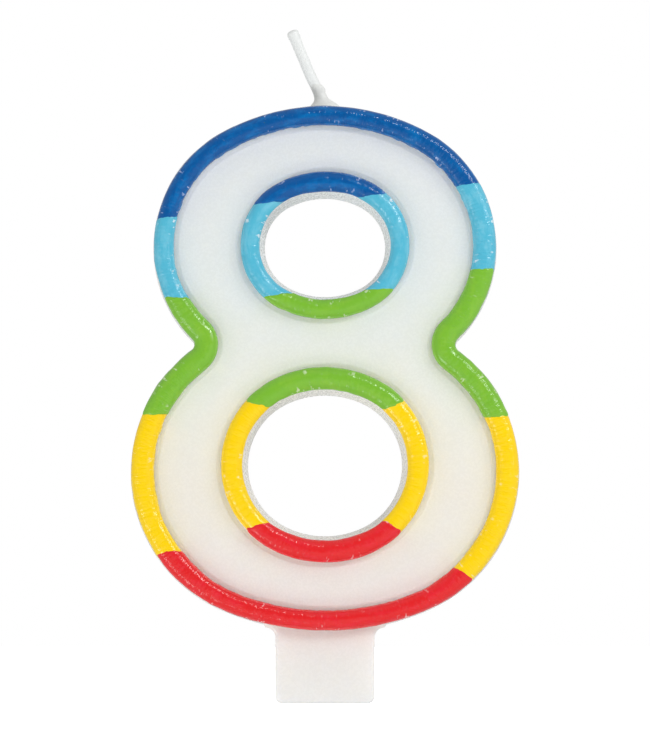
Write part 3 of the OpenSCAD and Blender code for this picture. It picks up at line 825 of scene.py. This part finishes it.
def wick_core_radius(run, angle, length):
    return WICK_CORE_R * (0.9 + 0.14 * braid(run, angle))


def wick_wax_radius(run, angle, length):
    along, around = run + 0 * angle, angle + 0 * run
    p = np.stack([along.ravel(), np.cos(around).ravel(), np.sin(around).ravel()], 1)
    uneven = (0.7 * smooth_noise(p, 1.4, 301) + 0.3 * smooth_noise(p, 0.5, 302)).reshape(along.shape)
    flat = 1 + 0.07 * np.cos(2 * angle)
    knob = 1 + 0.13 * smoothstep(length - 1.1, length - 0.1, run)
    return WICK_WAX_R * flat * knob * (1 + 0.02 * braid(run, angle) + 0.05 * uneven)


# The seal's edges left and right of the middle, (height above the top of the wax, left x, right x)
SEAL_PROFILE = [
    (-0.5, -2.3, 2.4), (0.0, -1.98, 1.98), (0.5, -1.6, 1.6), (0.75, -1.45, 1.15), (1.1, -1.37, 0.52),
    (1.8, -1.52, 0.12), (2.5, -1.8, 0.0), (2.75, -1.9, -0.2), (2.95, -1.92, -0.56),
]


def seal_mesh():
    """The drop of wax round the wick: a wide skirt below, a collar with a shoulder on its right above."""
    sides, rows = 96, 60
    angle = np.linspace(0, TAU, sides, endpoint=False)
    height, left, right = np.array(SEAL_PROFILE).T
    points = []
    for h in np.linspace(height[0], height[-1], rows):
        near = np.clip(np.linspace(h - 0.16, h + 0.16, 7), height[0], height[-1])
        a, b = np.interp(near, height, left).mean(), np.interp(near, height, right).mean()
        spots = np.stack([np.cos(angle), np.sin(angle), 0 * angle + h * 0.7], 1)
        wave = 1 + 0.05 * smooth_noise(spots, 0.9, 311)
        r = (b - a) / 2 * wave
        depth = np.minimum(r, 0.66 + 0.55 * (r - 0.66))
        x = (a + b) / 2 + r * np.cos(angle)
        points.append(np.stack([x, WICK_Y_H + depth * np.sin(angle), 0 * angle + TOP_Z + h], 1))
    return np.concatenate(points), tube_faces(rows, sides)


# ---- Materials ----


class Nodes:
    """Short names for building a node material."""

    def __init__(self, name):
        self.material = bpy.data.materials.new(name)
        self.material.use_nodes = True
        self.tree = self.material.node_tree
        self.tree.nodes.clear()
        self.out = self.tree.nodes.new("ShaderNodeOutputMaterial")
        self.shader = self.tree.nodes.new("ShaderNodeBsdfPrincipled")
        self.tree.links.new(self.shader.outputs[0], self.out.inputs["Surface"])

    def link(self, a, b):
        self.tree.links.new(a, b)

    def value(self, socket, v):
        if isinstance(v, (int, float, tuple)):
            socket.default_value = v
        else:
            self.link(v, socket)

    def math(self, kind, a, b=0.0, clamp=False):
        n = self.tree.nodes.new("ShaderNodeMath")
        n.operation, n.use_clamp = kind, clamp
        self.value(n.inputs[0], a)
        self.value(n.inputs[1], b)
        return n.outputs[0]

    def mix(self, factor, a, b):
        n = self.tree.nodes.new("ShaderNodeMix")
        n.data_type = "RGBA"
        self.value(n.inputs[0], factor)
        self.value(n.inputs[6], a)
        self.value(n.inputs[7], b)
        return n.outputs[2]

    def place(self, scale=(1, 1, 1)):
        """Object coordinates in millimetres, scaled."""
        c = self.tree.nodes.new("ShaderNodeTexCoord")
        m = self.tree.nodes.new("ShaderNodeMapping")
        m.inputs["Scale"].default_value = tuple(v / MM for v in scale)
        self.link(c.outputs["Object"], m.inputs["Vector"])
        return m.outputs[0]

    def flow(self, scale=(1, 1, 1)):
        """Run along the piece and across it, scaled."""
        a = self.tree.nodes.new("ShaderNodeAttribute")
        a.attribute_name = "flow"
        m = self.tree.nodes.new("ShaderNodeMapping")
        m.inputs["Scale"].default_value = scale
        self.link(a.outputs["Vector"], m.inputs["Vector"])
        return m.outputs[0]

    def noise(self, vector, scale, detail=3.0, rough=0.55):
        n = self.tree.nodes.new("ShaderNodeTexNoise")
        n.inputs["Scale"].default_value = scale
        n.inputs["Detail"].default_value = detail
        n.inputs["Roughness"].default_value = rough
        self.link(vector, n.inputs["Vector"])
        return n.outputs["Fac"]

    def cells(self, vector, scale):
        n = self.tree.nodes.new("ShaderNodeTexVoronoi")
        n.inputs["Scale"].default_value = scale
        self.link(vector, n.inputs["Vector"])
        return n.outputs["Distance"]

    def ramp(self, v, stops):
        n = self.tree.nodes.new("ShaderNodeValToRGB")
        ramp = n.color_ramp
        while len(ramp.elements) < len(stops):
            ramp.elements.new(0.5)
        for element, (position, level) in zip(ramp.elements, stops):
            element.position = position
            element.color = (level, level, level, 1) if isinstance(level, (int, float)) else level
        self.link(v, n.inputs[0])
        return n.outputs[0]

    def bump(self, height, distance, strength=1.0, under=None):
        n = self.tree.nodes.new("ShaderNodeBump")
        n.inputs["Distance"].default_value = distance * MM
        n.inputs["Strength"].default_value = strength
        self.link(height, n.inputs["Height"])
        if under is not None:
            self.link(under, n.inputs["Normal"])
        return n.outputs[0]


def srgb(r, g, b):
    """A linear colour from 0 to 255 sRGB values."""
    out = []
    for v in (r, g, b):
        v /= 255
        out.append(v / 12.92 if v <= 0.04045 else ((v + 0.055) / 1.055) ** 2.4)
    return (*out, 1.0)


def wax_material():
    """White wax with painted light: tinted by height and beside the coats with the coats' coloured bounce,
    darker towards the top; uneven and pitted on its front and back.
    """
    n = Nodes("white_wax_surface")
    split = n.tree.nodes.new("ShaderNodeSeparateXYZ")
    n.link(n.place(), split.inputs[0])
    height = n.math("DIVIDE", split.outputs[2], TOP_Z)
    # Painted light: the wax tinted by height with the colours the coats throw on it, pink by the red, warm by
    # the yellow, green, then bluer and darker towards the top
    painted_bounce_by_height = n.ramp(
        height,
        [
            (0.0, srgb(232, 233, 230)),
            (0.15, srgb(233, 230, 226)),
            (0.35, srgb(235, 231, 223)),
            (0.5, srgb(233, 234, 226)),
            (0.66, srgb(228, 233, 230)),
            (0.95, srgb(224, 228, 229)),
        ],
    )
    slow = n.noise(n.place(), 0.16, 3)
    colour = n.mix(n.math("MULTIPLY", slow, 0.35), painted_bounce_by_height, srgb(247, 247, 246))
    # Painted light: the coats' coloured bounce stored on the wax, mixed into its colour near the coats
    coat_bounce_layer = n.tree.nodes.new("ShaderNodeAttribute")
    coat_bounce_layer.attribute_name = "painted_coat_bounce"
    colour = n.mix(n.math("MULTIPLY", coat_bounce_layer.outputs["Alpha"], 0.6), colour, coat_bounce_layer.outputs["Color"])
    n.link(colour, n.shader.inputs["Base Color"])
    pits = n.ramp(n.cells(n.place(), 0.8), [(0.0, 0.0), (0.12, 1.0)])
    fine = n.noise(n.place(), 3.2, 4, 0.6)
    scratch = n.ramp(n.noise(n.place((0.35, 1, 2.6)), 1.1, 2), [(0.5, 0.0), (0.53, 1.0)])
    broad = n.noise(n.place(), 0.45, 2)
    facing = n.tree.nodes.new("ShaderNodeSeparateXYZ")
    n.link(n.tree.nodes.new("ShaderNodeNewGeometry").outputs["Normal"], facing.inputs[0])
    flat = n.ramp(n.math("ABSOLUTE", facing.outputs[1]), [(0.4, 0.0), (0.85, 1.0)])
    b = n.bump(n.math("MULTIPLY", broad, flat), 0.25, 0.35)
    b = n.bump(n.math("MULTIPLY", fine, flat), 0.01, 0.25, b)
    b = n.bump(n.math("MULTIPLY", pits, flat), 0.02, 0.25, b)
    b = n.bump(n.math("MULTIPLY", scratch, flat), 0.008, 0.2, b)
    n.link(b, n.shader.inputs["Normal"])
    rough = n.ramp(fine, [(0.3, 0.2), (0.7, 0.34)])
    n.link(rough, n.shader.inputs["Roughness"])
    n.shader.inputs["Subsurface Weight"].default_value = 0.9
    n.shader.inputs["Subsurface Radius"].default_value = (1.0, 0.95, 0.85)
    n.shader.inputs["Subsurface Scale"].default_value = 2.6 * MM
    n.shader.inputs["IOR"].default_value = 1.44
    n.shader.inputs["Specular IOR Level"].default_value = 0.4
    return n.material


def paint_material(name, main, other, painted_glint, rim, painted_glint_share, shine):
    """Glossy coloured wax: mottles along the bead, ripples across it, painted highlights as pale flecks on
    its shoulders.
    """
    n = Nodes(name)
    blotch = n.ramp(n.noise(n.flow((0.45, 1.1, 0)), 0.9, 4, 0.6), [(0.47, 0.0), (0.66, 1.0)])
    colour = n.mix(n.math("MULTIPLY", blotch, 0.55), main, other)
    split = n.tree.nodes.new("ShaderNodeSeparateXYZ")
    n.link(n.flow(), split.inputs[0])
    part = split.outputs[2]
    inner = n.ramp(part, [(0.9, 0.0), (0.96, 1.0)])
    colour = n.mix(n.math("MULTIPLY", inner, 0.7), colour, rim)
    from_edge = n.math("MINIMUM", part, n.math("SUBTRACT", 1.0, part))
    shoulder = n.ramp(from_edge, [(0.13, 0.0), (0.18, 1.0), (0.3, 1.0), (0.37, 0.0)])
    # Painted highlights: pale flecks on the bead's shoulders, where the lights' reflections fall, mixed into
    # the paint's colour
    glint_noise = n.ramp(n.noise(n.flow((1.5, 0.7, 0)), 1.15, 2, 0.5), [(0.6, 0.0), (0.65, 1.0)])
    patch = n.ramp(n.noise(n.flow((0.25, 0.25, 0)), 1.0, 2, 0.5), [(0.5, 0.0), (0.58, 1.0)])
    painted_glint_mask = n.math("MULTIPLY", n.math("MULTIPLY", glint_noise, shoulder), patch)
    colour = n.mix(n.math("MULTIPLY", painted_glint_mask, painted_glint_share), colour, painted_glint)
    n.link(colour, n.shader.inputs["Base Color"])
    ripple = n.noise(n.flow((1.7, 0.3, 0)), 1.1, 3, 0.5)
    grain = n.noise(n.place(), 3.5, 3, 0.6)
    pits = n.ramp(n.cells(n.place(), 1.1), [(0.0, 0.0), (0.16, 1.0)])
    b = n.bump(ripple, 0.3, 0.6)
    b = n.bump(grain, 0.012, 0.4, b)
    b = n.bump(pits, 0.03, 0.4, b)
    n.link(b, n.shader.inputs["Normal"])
    n.link(n.ramp(grain, [(0.3, 0.12), (0.75, 0.24)]), n.shader.inputs["Roughness"])
    n.shader.inputs["Subsurface Weight"].default_value = 0.0
    n.shader.inputs["IOR"].default_value = 1.45
    n.shader.inputs["Specular IOR Level"].default_value = shine
    return n.material


def wick_material(name, light, dark):
    """Waxed cotton: strands along the wick. A piece without flow, such as the seal, has one tone."""
    n = Nodes(name)
    strands = n.noise(n.flow((0.5, 0.7, 0)), 1.4, 3, 0.6)
    n.value(n.shader.inputs["Base Color"], n.mix(strands, dark, light))
    fibre = n.noise(n.flow((1.5, 1, 0)), 1.0, 2, 0.5)
    n.link(n.ramp(fibre, [(0.3, 0.4), (0.7, 0.55)]), n.shader.inputs["Roughness"])
    n.shader.inputs["Subsurface Weight"].default_value = 0.0
    return n.material


# Painted light: the coloured bounce from each coat, painted onto the white wax beside it
PAINTED_BOUNCE_TINTS = {
    "blue": (226, 230, 238),
    "aqua": (228, 236, 238),
    "green": (232, 237, 214),
    "yellow": (248, 243, 216),
    "red": (242, 222, 218),
}
# Main colour, mottles, pale flecks that are painted highlights, and thin rim, then the flecks' share and the
# shine
PAINT_TONES = {
    "blue": ((0, 86, 156), (0, 122, 196), (190, 205, 240), (20, 150, 215), 0.8, 0.4),
    "aqua": ((84, 186, 214), (128, 206, 228), (235, 245, 250), (130, 205, 225), 0.8, 0.5),
    "green": ((124, 188, 52), (140, 196, 56), (225, 240, 200), (160, 205, 80), 0.7, 0.5),
    "yellow": ((255, 214, 0), (255, 218, 4), (255, 246, 190), (255, 228, 70), 0.6, 0.5),
    "red": ((230, 34, 38), (236, 40, 60), (252, 190, 190), (250, 90, 70), 0.8, 0.5),
}


def finish_piece(piece, material, slot, *nodes):
    piece.data.materials.clear()
    piece.data.materials.append(material)
    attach(piece, "root")
    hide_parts(*nodes)


def finish_wick():
    braid_piece = tube("wick_braid", wick_core_radius, 0.0, CORE_CAP)
    braid_look = wick_material("waxed_braid", srgb(232, 235, 232), srgb(222, 224, 221))
    finish_piece(braid_piece, braid_look, "cotton_wick", "wick_core")
    skin = tube("wick_wax_skin", wick_wax_radius, WICK_WAX_START, COAT_CAP)
    skin_look = wick_material("wick_wax_surface", srgb(238, 240, 239), srgb(230, 233, 231))
    finish_piece(skin, skin_look, "wick_wax", "wick_wax_coat")
    seal = mesh_piece("wick_wax_drop", *seal_mesh())
    seal_look = wick_material("seal_wax_surface", srgb(234, 235, 232), srgb(227, 229, 226))
    finish_piece(seal, seal_look, "wick_wax", "wick_seal")


WAX, COATS = make_wax(), make_coats()
store_painted_coat_bounce(WAX, COATS)
finish_piece(WAX, wax_material(), "white_wax", "wax_body")
PAINTS = {}
for colour, (*tones, painted_glint_share, shine) in PAINT_TONES.items():
    PAINTS[colour] = paint_material(colour + "_coat", *[srgb(*tone) for tone in tones], painted_glint_share, shine)
for paint, node, colour in COATS:
    finish_piece(paint, PAINTS[colour], colour + "_wax", node)
finish_wick()

# ---- Floor, light and camera ----


def make_floor():
    half = 1.5
    corners = [(-half, -half, 0), (half, -half, 0), (half, half, 0), (-half, half, 0)]
    mesh = bpy.data.meshes.new("floor")
    mesh.from_pydata(corners, [], [(0, 1, 2, 3)])
    floor = bpy.data.objects.new("floor", mesh)
    bpy.context.scene.collection.objects.link(floor)
    floor.location = (0, 0, CAD_LOW[2] - 0.0002)
    n = Nodes("floor_white")
    n.shader.inputs["Base Color"].default_value = (0.9, 0.9, 0.9, 1)
    n.shader.inputs["Roughness"].default_value = 0.9
    n.shader.inputs["Specular IOR Level"].default_value = 0.0
    n.shader.inputs["Emission Color"].default_value = (1, 1, 1, 1)
    seen = n.tree.nodes.new("ShaderNodeLightPath").outputs["Is Camera Ray"]
    n.link(n.math("MULTIPLY", seen, 0.9), n.shader.inputs["Emission Strength"])
    mesh.materials.append(n.material)
    floor.visible_shadow = False


def make_world(front, round_about):
    """White where the camera sees it; as a light dimmer in front, on the camera's side, than round about."""
    world = bpy.data.worlds.new("studio")
    bpy.context.scene.world = world
    world.use_nodes = True
    tree = world.node_tree
    tree.nodes.clear()
    out = tree.nodes.new("ShaderNodeOutputWorld")
    seen, light = tree.nodes.new("ShaderNodeBackground"), tree.nodes.new("ShaderNodeBackground")
    seen.inputs["Strength"].default_value = 1.0
    seen.inputs["Color"].default_value = (1, 1, 1, 1)
    light.inputs["Color"].default_value = (1, 1, 1, 1)
    where, split = tree.nodes.new("ShaderNodeTexCoord"), tree.nodes.new("ShaderNodeSeparateXYZ")
    tree.links.new(where.outputs["Generated"], split.inputs[0])
    span = tree.nodes.new("ShaderNodeMapRange")
    span.interpolation_type = "SMOOTHSTEP"
    for socket, v in zip(("From Min", "From Max", "To Min", "To Max"), (-1.0, -0.45, front, round_about)):
        span.inputs[socket].default_value = v
    tree.links.new(split.outputs[1], span.inputs["Value"])
    tree.links.new(span.outputs[0], light.inputs["Strength"])
    path, mix = tree.nodes.new("ShaderNodeLightPath"), tree.nodes.new("ShaderNodeMixShader")
    tree.links.new(path.outputs["Is Camera Ray"], mix.inputs[0])
    tree.links.new(light.outputs[0], mix.inputs[1])
    tree.links.new(seen.outputs[0], mix.inputs[2])
    tree.links.new(mix.outputs[0], out.inputs["Surface"])


def soft_box(name, azimuth, elevation, distance, size, power):
    """An area light aimed at the figure's middle; azimuth 0 is the camera's side, 90 the right."""
    data = bpy.data.lights.new(name, "AREA")
    data.shape, data.size, data.size_y, data.energy = "RECTANGLE", *size, power
    lamp = bpy.data.objects.new(name, data)
    bpy.context.scene.collection.objects.link(lamp)
    a, e = math.radians(azimuth), math.radians(elevation)
    middle = (CAD_LOW + CAD_HIGH) / 2
    way = Vector((math.sin(a) * math.cos(e), -math.cos(a) * math.cos(e), math.sin(e)))
    lamp.location = middle + way * distance
    lamp.rotation_euler = (-way).to_track_quat("-Z", "Y").to_euler()


VIEW_HEIGHT = 0.09525  # height of the picture at the front face
CAMERA_DISTANCE = 1.0
CAMERA_ELEVATION = -1.7
AIM_Z = 0.0417  # height of the picture's middle above the foot's end
SENSOR = 24


def make_camera():
    data = bpy.data.cameras.new("camera")
    data.sensor_fit = "VERTICAL"
    data.sensor_height = SENSOR
    data.lens = SENSOR * CAMERA_DISTANCE / VIEW_HEIGHT
    data.clip_start, data.clip_end = 0.01, 20
    camera = bpy.data.objects.new("camera", data)
    bpy.context.scene.collection.objects.link(camera)
    front = CAD_LOW[1]
    aim = Vector((0.0, front, CAD_LOW[2] + AIM_Z))
    e = math.radians(CAMERA_ELEVATION)
    way = Vector((0, -math.cos(e), math.sin(e)))
    camera.location = aim + way * CAMERA_DISTANCE
    camera.rotation_euler = (-way).to_track_quat("-Z", "Y").to_euler()
    bpy.context.scene.camera = camera


make_floor()
make_world(0.16, 0.61)
soft_box("strip_upper_right", 44, 32, 0.55, (0.32, 0.05), 1.35)
soft_box("strip_lower_left", -44, -28, 0.55, (0.32, 0.05), 0.95)
make_camera()
bpy.context.scene.view_settings.view_transform = "Standard"
